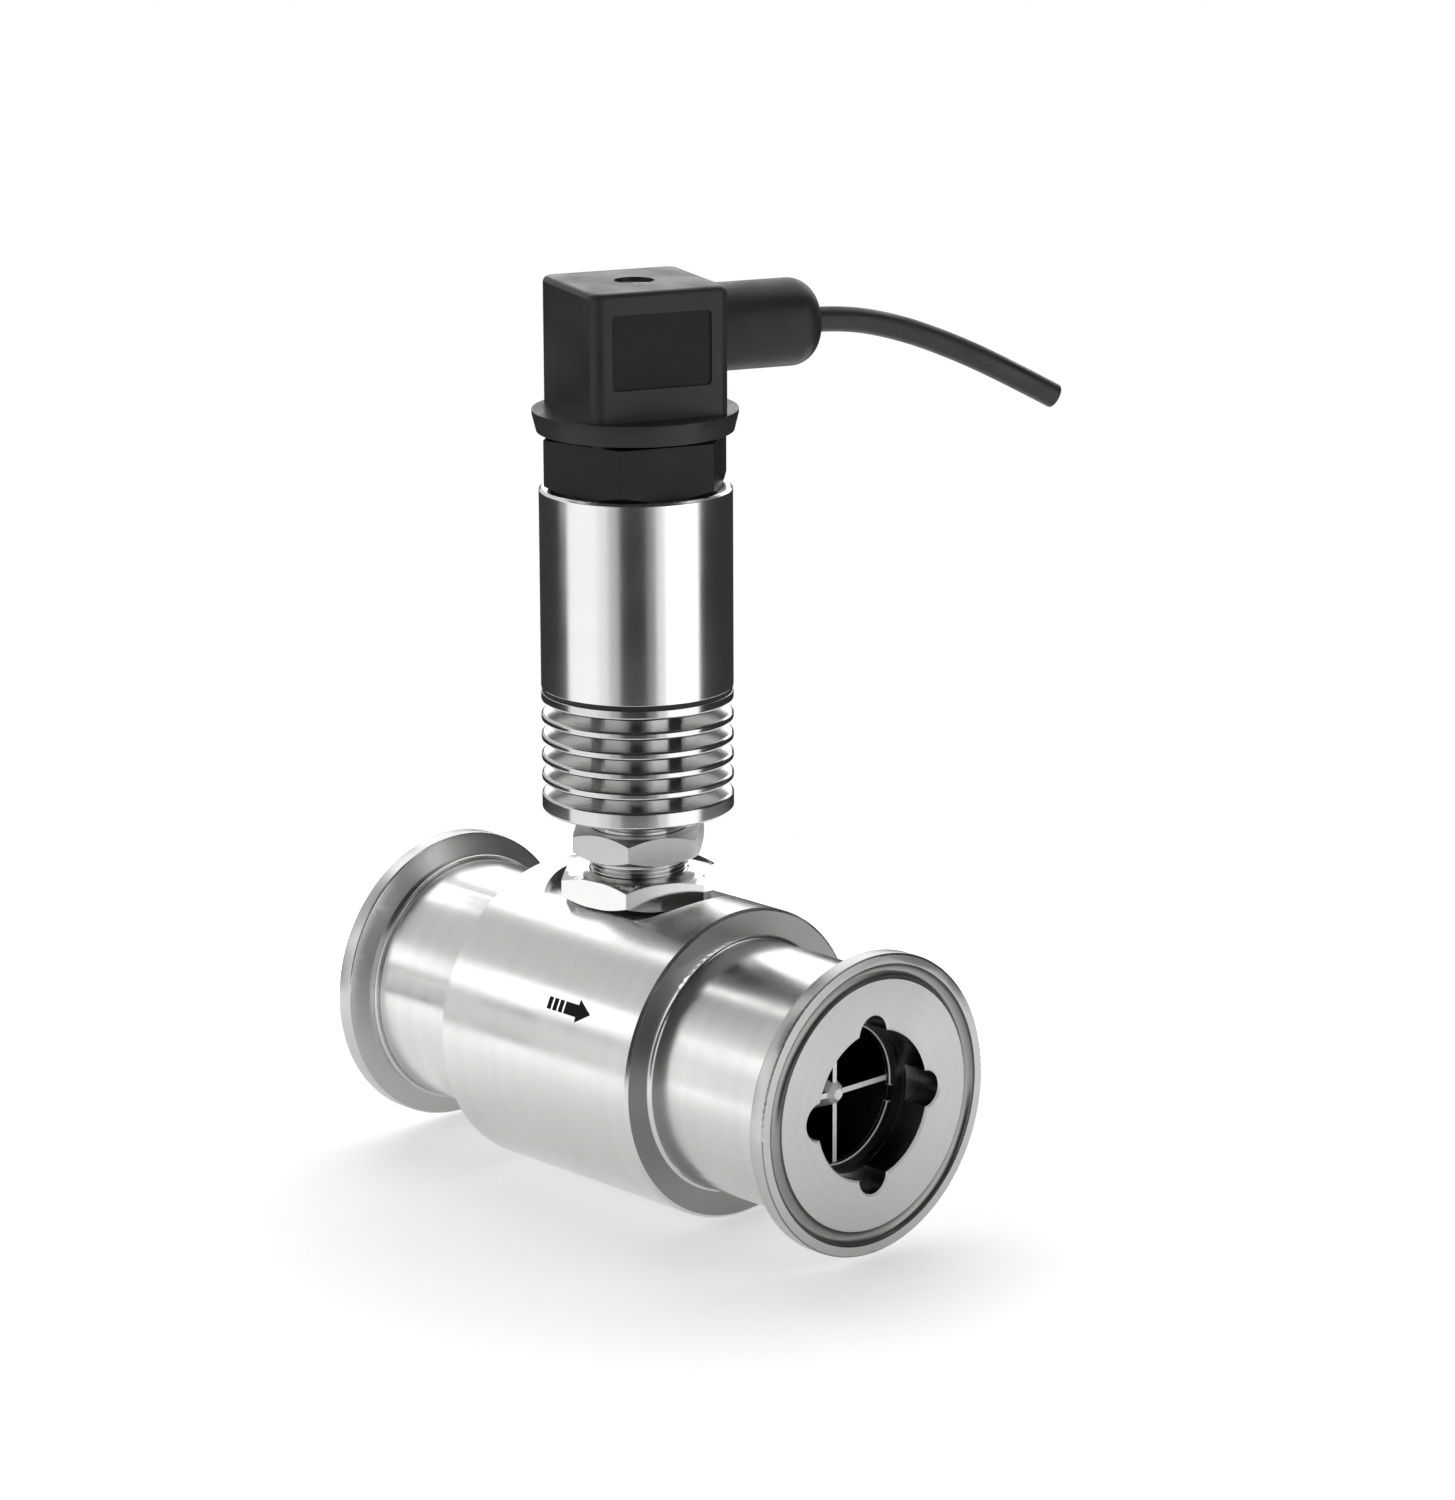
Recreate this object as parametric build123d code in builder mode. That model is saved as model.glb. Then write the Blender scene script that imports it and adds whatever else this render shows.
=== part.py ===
from build123d import *
from math import atan, cos, degrees, pi, radians, sin, tan
import os

# DN25 turbine flow meter with sanitary clamp ends, a finned pickup tower and a right-angle plug.
# The origin is the centre of the inlet clamp face. +X is the flow, +Z is up the tower. Millimetres.

# Line body: one turned bar between two welded clamp ferrules
face_to_face = 105.0
bore_dia = 25.0
throat_dia = 24.0
throat_length = 16.0
neck_dia = 42.2
barrel_dia = 52.6
barrel_start = 28.3
barrel_length = 46.1
barrel_edge_chamfer = 0.5
barrel_root_fillet = 0.9

# Clamp ferrules
ferrule_dia = 50.5
ferrule_rim = 2.85
ferrule_taper_angle = 20.0
ferrule_hub_step = 0.5
ferrule_length = 5.6
ferrule_edge_round = 0.4
seal_land_width = 1.75
seal_groove_width = 2.6
seal_groove_depth = 1.1
notch_count = 4
notch_dia = 6.2
notch_circle_dia = 24.0
notch_depth = 5.0
mouth_chamfer = 0.35

# Retaining rings in the bore
ring_depth = 8.0
ring_width = 1.0
ring_side_gap = 0.05
ring_groove_dia = 26.6
ring_outer_gap = 0.1
ring_inner_dia = 23.4
ring_mouth_angle = 12.0

# Flow straighteners
vane_count = 4
vane_thickness = 0.9
vane_bore_gap = 0.05
guide_hub_dia = 10.0
guide_nose_dia = 3.6
guide_nose_length = 9.0
guide_nose_round = 0.9

# Rotor and its bearings
rotor_x = 49.4
rotor_hub_length = 12.0
rotor_hub_dia = 10.0
rotor_end_gap = 0.4
rotor_tip_gap = 0.4
blade_count = 6
blade_thickness = 1.0
blade_length = 10.0
blade_lead = 88.0
shaft_dia = 3.0
shaft_bearing_gap = 0.04
press_gap = 0.02
bearing_dia = 5.0
bearing_length = 6.0
thrust_ball_dia = 3.0
thrust_gap = 0.1

# Pickup stem on the barrel
spot_face_dia = 32.0
spot_face_depth = 2.5
pickup_wall = 2.2
stem_dia = 16.6
stem_thread_gap = 0.05
stem_floor = 1.2
stem_bore_dia = 10.0
stem_neck_dia = 14.2
stem_spigot_dia = 12.8
stem_spigot_length = 5.0
gasket_thickness = 0.5
gasket_dia = 22.4
lower_nut_flats = 24.0
lower_nut_height = 4.6
lower_nut_yaw = 8.3
lower_nut_bevel = 1.0
nut_bevel_angle = 30.0
nut_spacing = 2.7
upper_nut_flats = 20.6
upper_nut_height = 4.7
upper_nut_yaw = 9.3
upper_nut_crown = 1.9

# Pickup coil set inside the stem
bobbin_length = 9.0
bobbin_flange = 1.0
bobbin_core_dia = 4.4
bobbin_gap = 0.1
pole_dia = 3.0
pole_gap = 0.05
magnet_dia = 7.2
magnet_length = 5.0
winding_gap = 0.15
lead_count = 2
lead_dia = 0.8
lead_circle_dia = 8.6
lead_side_angle = 90.0

# Heat sink and electronics sleeve
stem_neck_length = 3.1
sink_dia = 32.0
sink_core_dia = 15.6
sink_base = 3.0
fin_count = 4
fin_thickness = 1.45
fin_gap = 1.95
sink_top_plate = 1.65
fin_edge_bevel = 0.35
spigot_gap = 0.1
sink_spigot_length = 6.0
sleeve_seal_thickness = 0.8
sleeve_seal_inset = 0.15
sleeve_seal_width = 1.2
sleeve_length = 33.6
sleeve_wall = 1.5
sleeve_edge_chamfer = 0.45
o_ring_section = 1.5
o_ring_squeeze_gap = 0.03
o_ring_groove_width = 1.9

# Preamplifier board
board_width = 23.0
board_thickness = 1.6
board_length = 21.0
board_slot_depth = 1.0
board_slot_gap = 0.05
chip_size = (9.0, 6.0, 1.8)
can_dia = 6.0
can_length = 7.0
trimmer_size = (7.0, 7.0, 5.0)

# Hexagonal connector base and its contact blades
base_corner_step = 0.166
base_height = 8.7
base_bottom_bevel = 1.1
base_bevel_angle = 60.0
base_spigot_length = 6.0
base_wall = 3.4
base_roof = 5.6
blade_contact_count = 4
blade_contact_width = 6.3
blade_contact_thickness = 0.8
blade_contact_circle = 13.6
blade_contact_rise = 9.6
blade_contact_tail = 3.0
contact_gap = 0.05
plug_contact_gap = 0.35
seal_sheet_thickness = 0.7
seal_sheet_width = 22.0

# Right-angle plug
plug_yaw = 69.0
plug_width = 24.1
plug_height = 24.6
plug_corner_round = 2.2
plug_top_round = 1.1
plug_wall = 2.5
plug_roof = 4.2
plug_flange_dia = 34.0
plug_flange_height = 3.5
plug_flange_taper = 0.7
plug_panel_width = 17.3
plug_panel_height = 12.3
plug_panel_z = 8.7
plug_panel_depth = 0.35
plug_panel_corner = 0.8
block_height = 12.0
block_gap = 0.3
block_ledge = 0.9
plug_screw_dia = 3.0
plug_screw_head_dia = 6.0
plug_screw_head_height = 2.0
plug_screw_head_gap = 0.3
plug_screw_recess = 2.6
plug_screw_reach = 6.0
plug_screw_gap = 0.1
screw_slot_width = 0.9
screw_slot_depth = 1.0

# Cable gland on the plug
gland_rise = 15.9
gland_dia = 14.6
gland_length = 19.7
gland_dome = 4.6
boss_dia = 11.2
boss_length = 9.0
boss_bore_dia = 7.2
boss_thread_gap = 0.1
gland_seat_gap = 0.15
washer_thickness = 1.0
grommet_length = 5.0
grommet_side_gap = 0.1
gland_exit_gap = 0.05

# Cable stub: it leaves the gland level and droops to its cut end
cable_dia = 4.2
cable_tail_inside = 4.0
cable_route = [(0.0, 0.0), (6.0, 0.0), (16.0, -2.4), (26.0, -6.4), (35.5, -11.1), (44.6, -16.1)]
arc_share = 0.45

# Shapes: sides of a hexagon, a quarter turn, and how near an edge lies to the place it is picked by
hex_sides = 6
quarter_turn = 90.0
pick_reach = 0.02

# Worked-out radii and places
bore_r = bore_dia / 2
throat_r = throat_dia / 2
neck_r = neck_dia / 2
barrel_r = barrel_dia / 2
spot_face_z = barrel_r - spot_face_depth
barrel_end = barrel_start + barrel_length
throat_start = rotor_x - throat_length / 2
throat_end = rotor_x + throat_length / 2
pickup_seat_z = throat_r + pickup_wall
stem_r = stem_dia / 2
stem_bore_r = stem_bore_dia / 2
stem_bottom_z = pickup_seat_z + stem_thread_gap
lower_nut_z = spot_face_z + gasket_thickness
upper_nut_z = lower_nut_z + lower_nut_height + nut_spacing
stem_shoulder_z = upper_nut_z + upper_nut_height
sink_z = stem_shoulder_z + stem_neck_length
sink_r = sink_dia / 2
sink_plate_z = sink_z + sink_base + fin_count * fin_thickness + (fin_count + 1) * fin_gap
sink_top_z = sink_plate_z + sink_top_plate
sleeve_z = sink_top_z + sleeve_seal_thickness
sleeve_top_z = sleeve_z + sleeve_length
sleeve_bore_r = sink_r - sleeve_wall
spigot_r = sleeve_bore_r - spigot_gap
sink_spigot_top_z = sink_top_z + sink_spigot_length
base_top_z = sleeve_top_z + base_height
plug_z = base_top_z + seal_sheet_thickness
plug_top_z = plug_z + plug_height
gland_z = plug_z + gland_rise
gland_start = plug_width / 2
gland_end = gland_start + gland_length
boss_end = gland_start + boss_length

tower_axis = Axis((rotor_x, 0, 0), (0, 0, 1))
tower_plane = Plane((rotor_x, 0, 0), x_dir=(1, 0, 0), z_dir=(0, 0, 1))
cable_dir = (cos(radians(plug_yaw)), sin(radians(plug_yaw)), 0)
side_dir = (sin(radians(plug_yaw)), -cos(radians(plug_yaw)), 0)
plug_plane = Plane((rotor_x, 0, 0), x_dir=cable_dir, z_dir=(0, 0, 1))
tower_section = Plane((rotor_x, 0, 0), x_dir=(1, 0, 0), z_dir=(0, -1, 0))
gland_section = Plane((rotor_x, 0, gland_z), x_dir=(0, 0, 1), z_dir=Vector(*side_dir) * -1)
gland_axis = Axis((rotor_x, 0, gland_z), cable_dir)


def save(piece, name):
    piece.label = name
    export_step(piece, "parts/" + name + ".step")


def turned_ring(axis, section, inner, outer, start, length):
    """A plain turned ring. The section's first direction is the radius, its second the axis."""
    with BuildPart() as ring:
        with BuildSketch(section):
            with BuildLine():
                Polyline((inner, start), (outer, start), (outer, start + length), (inner, start + length),
                         close=True)
            make_face()
        revolve(axis=axis)
    return ring.part


# Body: a turned bar with a bored passage, a flat milled on top and a blind hole for the pickup stem
weld_in = ferrule_length
weld_out = face_to_face - ferrule_length
ring_groove_r = ring_groove_dia / 2
ring_groove_width = ring_width + 2 * ring_side_gap
groove_in = ring_depth
groove_out = face_to_face - ring_depth

with BuildPart() as meter_body:
    with BuildSketch(Plane.XZ):
        with BuildLine():
            Polyline(
                (weld_in, bore_r),
                (weld_in, neck_r),
                (barrel_start, neck_r),
                (barrel_start, barrel_r),
                (barrel_end, barrel_r),
                (barrel_end, neck_r),
                (weld_out, neck_r),
                (weld_out, bore_r),
                (groove_out, bore_r),
                (groove_out, ring_groove_r),
                (groove_out - ring_groove_width, ring_groove_r),
                (groove_out - ring_groove_width, bore_r),
                (throat_end, bore_r),
                (throat_end, throat_r),
                (throat_start, throat_r),
                (throat_start, bore_r),
                (groove_in + ring_groove_width, bore_r),
                (groove_in + ring_groove_width, ring_groove_r),
                (groove_in, ring_groove_r),
                (groove_in, bore_r),
                close=True,
            )
        make_face()
    revolve(axis=Axis.X)
    rims = meter_body.edges().filter_by(GeomType.CIRCLE).group_by(SortBy.RADIUS)
    chamfer(rims[-1], barrel_edge_chamfer)
    neck_rims = meter_body.edges().filter_by(GeomType.CIRCLE)
    neck_rims = neck_rims.filter_by(lambda rim: abs(rim.radius - neck_r) < pick_reach)
    fillet(neck_rims.filter_by_position(Axis.X, barrel_start - pick_reach, barrel_end + pick_reach),
           barrel_root_fillet)
    with BuildSketch(tower_plane.offset(spot_face_z)):
        Circle(spot_face_dia / 2)
    extrude(amount=barrel_r, mode=Mode.SUBTRACT)
    with BuildSketch(tower_plane.offset(pickup_seat_z)):
        Circle(stem_r + stem_thread_gap)
    extrude(amount=barrel_r, mode=Mode.SUBTRACT)
save(meter_body.part, "meter_body")


# Clamp ferrules: a turned flange with a seal groove, a tapered back and a short weld hub
def clamp_ferrule(face_x, inward):
    """One ferrule, with its face at face_x and its body running the way that inward says."""
    hub_r = neck_r + ferrule_hub_step
    rim_r = ferrule_dia / 2
    taper = (rim_r - hub_r) * tan(radians(ferrule_taper_angle))
    groove_half = seal_groove_width / 2
    groove_r = rim_r - seal_land_width - groove_half
    outward = Vector(-inward, 0, 0)
    with BuildPart() as ferrule:
        with BuildSketch(Plane.XZ):
            with BuildLine():
                Polyline(
                    (face_x, groove_r - groove_half),
                    (face_x, bore_r),
                    (face_x + inward * ferrule_length, bore_r),
                    (face_x + inward * ferrule_length, hub_r),
                    (face_x + inward * (ferrule_rim + taper), hub_r),
                    (face_x + inward * ferrule_rim, rim_r),
                    (face_x, rim_r),
                    (face_x, groove_r + groove_half),
                )
                ThreePointArc(
                    (face_x, groove_r + groove_half),
                    (face_x + inward * seal_groove_depth, groove_r),
                    (face_x, groove_r - groove_half),
                )
            make_face()
        revolve(axis=Axis.X)
        fillet(ferrule.edges().filter_by(GeomType.CIRCLE).group_by(SortBy.RADIUS)[-1], ferrule_edge_round)
        with BuildSketch(Plane((face_x, 0, 0), x_dir=(0, 1, 0), z_dir=outward)):
            with PolarLocations(notch_circle_dia / 2, notch_count):
                Circle(notch_dia / 2)
        extrude(amount=-notch_depth, mode=Mode.SUBTRACT)
        front_faces = ferrule.faces().filter_by(Plane.YZ).group_by(Axis((0, 0, 0), outward))[-1]
        outline = front_faces.sort_by(SortBy.AREA)[-1].inner_wires().sort_by(lambda w: w.length)[0]
        chamfer(outline.edges(), mouth_chamfer)
    return ferrule.part


save(clamp_ferrule(0.0, 1), "inlet_ferrule")
save(clamp_ferrule(face_to_face, -1), "outlet_ferrule")


# Retaining rings: flat spring rings with an open mouth, each in its bore groove
def retaining_ring(start_x):
    """One spring ring from start_x along +X, open at ring_mouth_angle below the +Y side."""
    with BuildPart() as ring:
        with BuildSketch(Plane.YZ.offset(start_x)):
            Circle(ring_groove_r - ring_outer_gap)
            Circle(ring_inner_dia / 2, mode=Mode.SUBTRACT)
        extrude(amount=ring_width)
        mouth_half = radians(ring_mouth_angle) / 2
        far = ring_groove_dia
        with BuildSketch(Plane.YZ.offset(start_x)):
            with BuildLine():
                Polyline((0, 0), (far * cos(mouth_half), far * sin(mouth_half)),
                         (far * cos(mouth_half), -far * sin(mouth_half)), close=True)
            make_face()
        extrude(amount=ring_width, mode=Mode.SUBTRACT)
    return ring.part.rotate(Axis.X, -ring_mouth_angle)


ring_in_x = groove_in + ring_side_gap
ring_out_x = groove_out - ring_side_gap - ring_width
save(retaining_ring(ring_in_x), "inlet_retaining_ring")
save(retaining_ring(ring_out_x), "outlet_retaining_ring")


# Flow straighteners: a hub with a rounded nose and four thin vanes, bored for the rotor bearing
bearing_seat_r = bearing_dia / 2 + press_gap
ball_seat_r = thrust_ball_dia / 2 + press_gap
ball_pocket = thrust_ball_dia + thrust_gap


def straightener(shoulder_x, ring_x, hub_x, outward):
    """Vanes run from the bore shoulder to the ring; the hub starts beside the rotor at hub_x."""
    nose_x = ring_x + outward * guide_nose_round
    vane_tip = bore_r - vane_bore_gap
    with BuildPart() as guide:
        with BuildSketch(Plane.XZ):
            with BuildLine():
                Polyline(
                    (hub_x, 0),
                    (hub_x, guide_hub_dia / 2),
                    (nose_x - outward * guide_nose_length, guide_hub_dia / 2),
                    (nose_x - outward * guide_nose_round, guide_nose_dia / 2),
                    (nose_x, guide_nose_dia / 2 - guide_nose_round),
                    (nose_x, 0),
                    close=True,
                )
            make_face()
        revolve(axis=Axis.X)
        with BuildSketch(Plane.YZ.offset(shoulder_x)):
            with PolarLocations(vane_tip / 2, vane_count):
                Rectangle(vane_tip, vane_thickness)
        extrude(amount=ring_x - shoulder_x)
        with BuildSketch(Plane.YZ.offset(shoulder_x)):
            Circle(bore_dia)
            Circle(vane_tip, mode=Mode.SUBTRACT)
        extrude(amount=ring_x - shoulder_x, mode=Mode.SUBTRACT)
        with BuildSketch(Plane.YZ.offset(hub_x)):
            Circle(bearing_seat_r)
        extrude(amount=outward * bearing_length, mode=Mode.SUBTRACT)
        with BuildSketch(Plane.YZ.offset(hub_x)):
            Circle(ball_seat_r)
        extrude(amount=outward * (bearing_length + ball_pocket), mode=Mode.SUBTRACT)
    return guide.part


hub_in_x = rotor_x - rotor_hub_length / 2 - rotor_end_gap
hub_out_x = rotor_x + rotor_hub_length / 2 + rotor_end_gap
save(straightener(throat_start, ring_in_x + ring_width, hub_in_x, -1), "inlet_straightener")
save(straightener(throat_end, ring_out_x, hub_out_x, 1), "outlet_straightener")


# Bearing bushes pressed in the hubs, and the thrust balls behind the shaft ends
def bearing_bush(start_x, length):
    with BuildPart() as bush:
        with BuildSketch(Plane.YZ.offset(start_x)):
            Circle(bearing_dia / 2)
            Circle(shaft_dia / 2 + shaft_bearing_gap, mode=Mode.SUBTRACT)
        extrude(amount=length)
    return bush.part


save(bearing_bush(hub_in_x, -bearing_length), "inlet_bearing_bush")
save(bearing_bush(hub_out_x, bearing_length), "outlet_bearing_bush")

ball_in_x = hub_in_x - bearing_length - ball_pocket + thrust_ball_dia / 2
ball_out_x = hub_out_x + bearing_length + ball_pocket - thrust_ball_dia / 2
with BuildPart() as thrust_balls:
    with Locations((ball_in_x, 0, 0), (ball_out_x, 0, 0)):
        Sphere(thrust_ball_dia / 2)
save(thrust_balls.part, "thrust_balls")

shaft_start = ball_in_x + thrust_ball_dia / 2 + thrust_gap
shaft_end = ball_out_x - thrust_ball_dia / 2 - thrust_gap
with BuildPart() as rotor_shaft:
    with BuildSketch(Plane.YZ.offset(shaft_start)):
        Circle(shaft_dia / 2)
    extrude(amount=shaft_end - shaft_start)
save(rotor_shaft.part, "rotor_shaft")


# Rotor: six twisted blades whose angle follows one helical lead, lofted through three radii
rotor_tip_r = throat_r - rotor_tip_gap
rotor_hub_r = rotor_hub_dia / 2


def blade_section(radius):
    """The flat section of the blade at one radius, turned to the helix angle there."""
    angle = atan(2 * pi * radius / blade_lead)
    chord = blade_length / cos(angle)
    plane = Plane((rotor_x, 0, radius), x_dir=(1, 0, 0), z_dir=(0, 0, 1))
    with BuildSketch(plane) as section:
        Rectangle(chord, blade_thickness, rotation=degrees(angle))
    return section.sketch


blade_root_r = rotor_hub_r - blade_thickness
blade_over_r = throat_r + blade_thickness
with BuildPart() as single_blade:
    add(blade_section(blade_root_r))
    add(blade_section((blade_root_r + blade_over_r) / 2))
    add(blade_section(blade_over_r))
    loft()

with BuildPart() as rotor:
    with BuildSketch(Plane.YZ.offset(rotor_x - rotor_hub_length / 2)):
        Circle(rotor_hub_r)
    extrude(amount=rotor_hub_length)
    for number in range(blade_count):
        add(single_blade.part.rotate(Axis.X, number * 360 / blade_count))
    with BuildSketch(Plane.YZ.offset(rotor_x - rotor_hub_length / 2)):
        Circle(rotor_tip_r)
    extrude(amount=rotor_hub_length, mode=Mode.INTERSECT)
    with BuildSketch(Plane.YZ.offset(rotor_x - rotor_hub_length / 2)):
        Circle(shaft_dia / 2 + press_gap)
    extrude(amount=rotor_hub_length, mode=Mode.SUBTRACT)
save(rotor.part, "rotor")


# Pickup stem: a blind threaded tube in the body, with a neck and a spigot that carries the heat sink
stem_inner_floor_z = stem_bottom_z + stem_floor
with BuildPart() as pickup_stem:
    with BuildSketch(tower_section):
        with BuildLine():
            Polyline(
                (0, stem_bottom_z),
                (stem_r, stem_bottom_z),
                (stem_r, stem_shoulder_z),
                (stem_neck_dia / 2, stem_shoulder_z),
                (stem_neck_dia / 2, sink_z),
                (stem_spigot_dia / 2, sink_z),
                (stem_spigot_dia / 2, sink_z + stem_spigot_length),
                (stem_bore_r, sink_z + stem_spigot_length),
                (stem_bore_r, stem_inner_floor_z),
                (0, stem_inner_floor_z),
                close=True,
            )
        make_face()
    revolve(axis=tower_axis)
save(pickup_stem.part, "pickup_stem")

stem_gasket = turned_ring(tower_axis, tower_section, stem_r + stem_thread_gap, gasket_dia / 2,
                          spot_face_z, gasket_thickness)
save(stem_gasket, "stem_gasket")


# Nuts: hexagon bars whose corners are turned away, the lower by a bevel and the upper by a crown
with BuildPart() as lower_hex_nut:
    with BuildSketch(tower_plane.offset(lower_nut_z)):
        RegularPolygon(lower_nut_flats / 2, hex_sides, major_radius=False, rotation=lower_nut_yaw)
        Circle(stem_r + stem_thread_gap, mode=Mode.SUBTRACT)
    extrude(amount=lower_nut_height)
    corner_r = lower_nut_flats / 2 / cos(pi / hex_sides)
    bevel_reach = lower_nut_bevel / tan(radians(nut_bevel_angle))
    with BuildSketch(tower_section):
        with BuildLine():
            Polyline(
                (0, lower_nut_z),
                (corner_r - bevel_reach, lower_nut_z),
                (corner_r, lower_nut_z + lower_nut_bevel),
                (corner_r, lower_nut_z + lower_nut_height - lower_nut_bevel),
                (corner_r - bevel_reach, lower_nut_z + lower_nut_height),
                (0, lower_nut_z + lower_nut_height),
                close=True,
            )
        make_face()
    revolve(axis=tower_axis, mode=Mode.INTERSECT)
save(lower_hex_nut.part, "lower_hex_nut")

with BuildPart() as upper_lock_nut:
    with BuildSketch(tower_plane.offset(upper_nut_z)):
        RegularPolygon(upper_nut_flats / 2, hex_sides, major_radius=False, rotation=upper_nut_yaw)
        Circle(stem_r + stem_thread_gap, mode=Mode.SUBTRACT)
    extrude(amount=upper_nut_height)
    crown_r = upper_nut_flats / 2 / cos(pi / hex_sides)
    with BuildSketch(tower_section):
        with BuildLine():
            Polyline(
                (0, upper_nut_z + upper_nut_height),
                (0, upper_nut_z),
                (crown_r - upper_nut_crown, upper_nut_z),
            )
            ThreePointArc(
                (crown_r - upper_nut_crown, upper_nut_z),
                (crown_r, upper_nut_z + upper_nut_height / 2),
                (crown_r - upper_nut_crown, upper_nut_z + upper_nut_height),
            )
            Line((crown_r - upper_nut_crown, upper_nut_z + upper_nut_height),
                 (0, upper_nut_z + upper_nut_height))
        make_face()
    revolve(axis=tower_axis, mode=Mode.INTERSECT)
save(upper_lock_nut.part, "upper_lock_nut")


# Pickup coil set: bobbin, winding, pole pin, magnet and the two leads up to the board
bobbin_z = stem_inner_floor_z
bobbin_r = stem_bore_r - bobbin_gap
bobbin_core_r = bobbin_core_dia / 2
bobbin_hole_r = pole_dia / 2 + pole_gap
with BuildPart() as coil_bobbin:
    with BuildSketch(tower_section):
        with BuildLine():
            Polyline(
                (bobbin_hole_r, bobbin_z),
                (bobbin_r, bobbin_z),
                (bobbin_r, bobbin_z + bobbin_flange),
                (bobbin_core_r, bobbin_z + bobbin_flange),
                (bobbin_core_r, bobbin_z + bobbin_length - bobbin_flange),
                (bobbin_r, bobbin_z + bobbin_length - bobbin_flange),
                (bobbin_r, bobbin_z + bobbin_length),
                (bobbin_hole_r, bobbin_z + bobbin_length),
                close=True,
            )
        make_face()
    revolve(axis=tower_axis)
save(coil_bobbin.part, "coil_bobbin")

coil_winding = turned_ring(tower_axis, tower_section, bobbin_core_r + press_gap, bobbin_r - winding_gap,
                           bobbin_z + bobbin_flange, bobbin_length - 2 * bobbin_flange)
save(coil_winding, "coil_winding")

with BuildPart() as pole_pin:
    with BuildSketch(tower_plane.offset(bobbin_z)):
        Circle(pole_dia / 2)
    extrude(amount=bobbin_length)
save(pole_pin.part, "pole_pin")

with BuildPart() as pickup_magnet:
    with BuildSketch(tower_plane.offset(bobbin_z + bobbin_length)):
        Circle(magnet_dia / 2)
    extrude(amount=magnet_length)
save(pickup_magnet.part, "pickup_magnet")

board_z = sink_spigot_top_z - board_slot_depth
with BuildPart() as pickup_leads:
    with BuildSketch(tower_plane.offset(bobbin_z + bobbin_length)):
        with PolarLocations(lead_circle_dia / 2, lead_count, start_angle=lead_side_angle):
            Circle(lead_dia / 2)
    extrude(amount=board_z - bobbin_z - bobbin_length)
save(pickup_leads.part, "pickup_leads")


# Heat sink: one turned piece with a thick foot, thin fins on a slim core and a spigot for the sleeve
o_ring_seat_r = sleeve_bore_r - o_ring_section
o_ring_z = sink_top_z + sink_spigot_length / 2
with BuildPart() as heat_sink:
    with BuildSketch(tower_section):
        with BuildLine():
            Polyline(
                (stem_bore_r, sink_z + stem_spigot_length),
                (stem_spigot_dia / 2 + stem_thread_gap, sink_z + stem_spigot_length),
                (stem_spigot_dia / 2 + stem_thread_gap, sink_z),
                (sink_r, sink_z),
                (sink_r, sink_top_z),
                (spigot_r, sink_top_z),
                (spigot_r, o_ring_z - o_ring_groove_width / 2),
                (o_ring_seat_r, o_ring_z - o_ring_groove_width / 2),
                (o_ring_seat_r, o_ring_z + o_ring_groove_width / 2),
                (spigot_r, o_ring_z + o_ring_groove_width / 2),
                (spigot_r, sink_spigot_top_z),
                (stem_bore_r, sink_spigot_top_z),
                close=True,
            )
        make_face()
    revolve(axis=tower_axis)
    for number in range(fin_count + 1):
        gap_z = sink_z + sink_base + number * (fin_gap + fin_thickness)
        with BuildSketch(tower_plane.offset(gap_z)):
            Circle(sink_r)
            Circle(sink_core_dia / 2, mode=Mode.SUBTRACT)
        extrude(amount=fin_gap, mode=Mode.SUBTRACT)
    fin_rims = heat_sink.edges().filter_by(GeomType.CIRCLE).group_by(SortBy.RADIUS)[-1]
    chamfer(fin_rims.filter_by_position(Axis.Z, sink_z, sink_top_z - pick_reach), fin_edge_bevel)
    with BuildSketch(tower_plane.offset(sink_spigot_top_z)):
        Rectangle(board_thickness + 2 * board_slot_gap, board_width + 2 * board_slot_gap)
    extrude(amount=-board_slot_depth, mode=Mode.SUBTRACT)
save(heat_sink.part, "heat_sink")

seal_outer_r = sink_r - sleeve_seal_inset
sleeve_seal = turned_ring(tower_axis, tower_section, seal_outer_r - sleeve_seal_width, seal_outer_r,
                          sink_top_z, sleeve_seal_thickness)
save(sleeve_seal, "sleeve_seal")

with BuildPart() as spigot_o_ring:
    with BuildSketch(tower_section):
        with Locations((o_ring_seat_r + o_ring_section / 2, o_ring_z)):
            Circle(o_ring_section / 2 - o_ring_squeeze_gap)
    revolve(axis=tower_axis)
save(spigot_o_ring.part, "spigot_o_ring")

with BuildPart() as housing_sleeve:
    with BuildSketch(tower_plane.offset(sleeve_z)):
        Circle(sink_r)
        Circle(sleeve_bore_r, mode=Mode.SUBTRACT)
    extrude(amount=sleeve_length)
    chamfer(housing_sleeve.edges().group_by(Axis.Z)[-1].sort_by(SortBy.RADIUS)[-1], sleeve_edge_chamfer)
save(housing_sleeve.part, "housing_sleeve")


# Preamplifier board: it stands in a slot of the heat sink, with its components soldered on
with BuildPart() as preamp_board:
    with BuildSketch(tower_plane.offset(board_z)):
        Rectangle(board_thickness, board_width)
    extrude(amount=board_length)
save(preamp_board.part, "preamp_board")

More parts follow.
